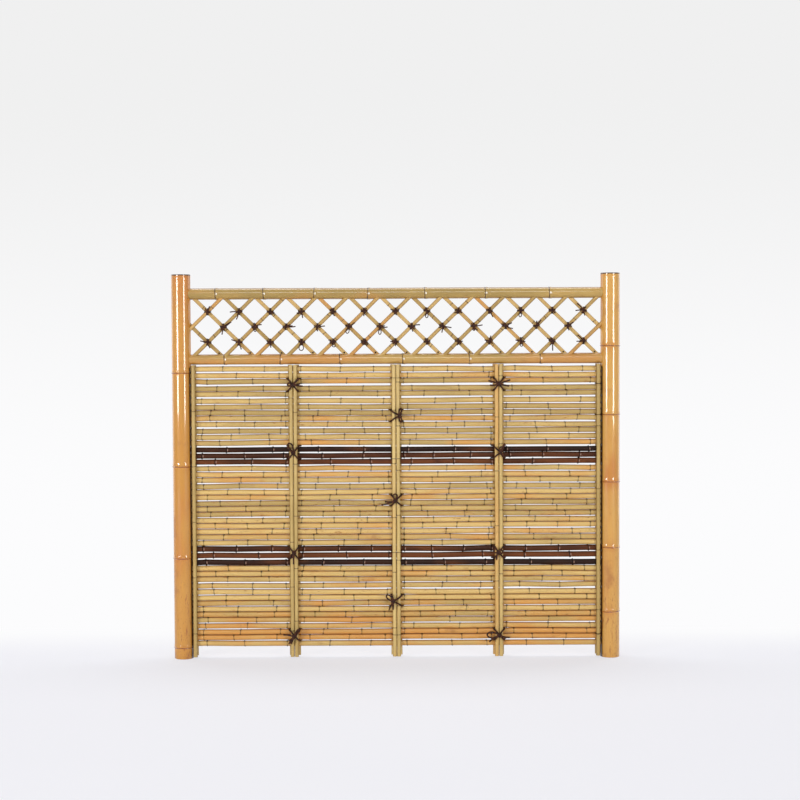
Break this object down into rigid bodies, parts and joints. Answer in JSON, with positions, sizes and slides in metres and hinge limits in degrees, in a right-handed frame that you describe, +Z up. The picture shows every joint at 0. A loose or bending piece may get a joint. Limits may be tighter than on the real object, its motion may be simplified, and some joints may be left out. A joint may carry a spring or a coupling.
{
  "type": "bamboo fence panel",
  "caption": "Bamboo fence panel: stout posts, a lashed split-cane lattice between the rails and a screen of horizontal canes with dark bands, clamped by upright battens.",
  "frame": {"origin": "on the ground, midway between the two posts", "axes": "+X along the panel to the right seen from the front, +Y to the back, +Z up"},
  "size_m": [1.7485, 0.0786, 1.5006],
  "materials": {
    "post_bamboo": "glossy lacquered culm",
    "rail_bamboo": "satin culm",
    "lattice_cane": "satin split cane",
    "light_cane": "satin cane",
    "dark_cane": "glossy dark cane",
    "batten_cane": "matt pale cane",
    "twine": "tarred palm twine"
  },
  "bodies": {
    "root": {"post_left": "post_bamboo", "post_right": "post_bamboo", "top_rail": "rail_bamboo", "middle_rail": "rail_bamboo", "lattice_rising_strip_1": "lattice_cane", "lattice_falling_strip_1": "lattice_cane", "lattice_rising_strip_2": "lattice_cane", "lattice_falling_strip_2": "lattice_cane", "lattice_rising_strip_3": "lattice_cane", "lattice_falling_strip_3": "lattice_cane", "lattice_rising_strip_4": "lattice_cane", "lattice_falling_strip_4": "lattice_cane", "lattice_rising_strip_5": "lattice_cane", "lattice_falling_strip_5": "lattice_cane", "lattice_rising_strip_6": "lattice_cane", "lattice_falling_strip_6": "lattice_cane", "lattice_rising_strip_7": "lattice_cane", "lattice_falling_strip_7": "lattice_cane", "lattice_rising_strip_8": "lattice_cane", "lattice_falling_strip_8": "lattice_cane", "lattice_rising_strip_9": "lattice_cane", "lattice_falling_strip_9": "lattice_cane", "lattice_rising_strip_10": "lattice_cane", "lattice_falling_strip_10": "lattice_cane", "lattice_rising_strip_11": "lattice_cane", "lattice_falling_strip_11": "lattice_cane", "lattice_rising_strip_12": "lattice_cane", "lattice_falling_strip_12": "lattice_cane", "lattice_rising_strip_13": "lattice_cane", "lattice_falling_strip_13": "lattice_cane", "lattice_rising_strip_14": "lattice_cane", "lattice_falling_strip_14": "lattice_cane", "front_batten_1": "batten_cane", "back_batten_1": "batten_cane", "front_batten_2": "batten_cane", "back_batten_2": "batten_cane", "front_batten_3": "batten_cane", "back_batten_3": "batten_cane", "front_batten_4": "batten_cane", "back_batten_4": "batten_cane", "front_batten_5": "batten_cane", "back_batten_5": "batten_cane", "front_batten_6": "batten_cane", "back_batten_6": "batten_cane", "front_batten_7": "batten_cane", "back_batten_7": "batten_cane", "front_batten_8": "batten_cane", "back_batten_8": "batten_cane", "lower_light_canes": "light_cane", "middle_light_canes": "light_cane", "upper_light_canes": "light_cane", "lower_dark_canes": "dark_cane", "upper_dark_canes": "dark_cane", "lattice_ties": "twine", "batten_ties": "twine"}
  },
  "joints": []
}
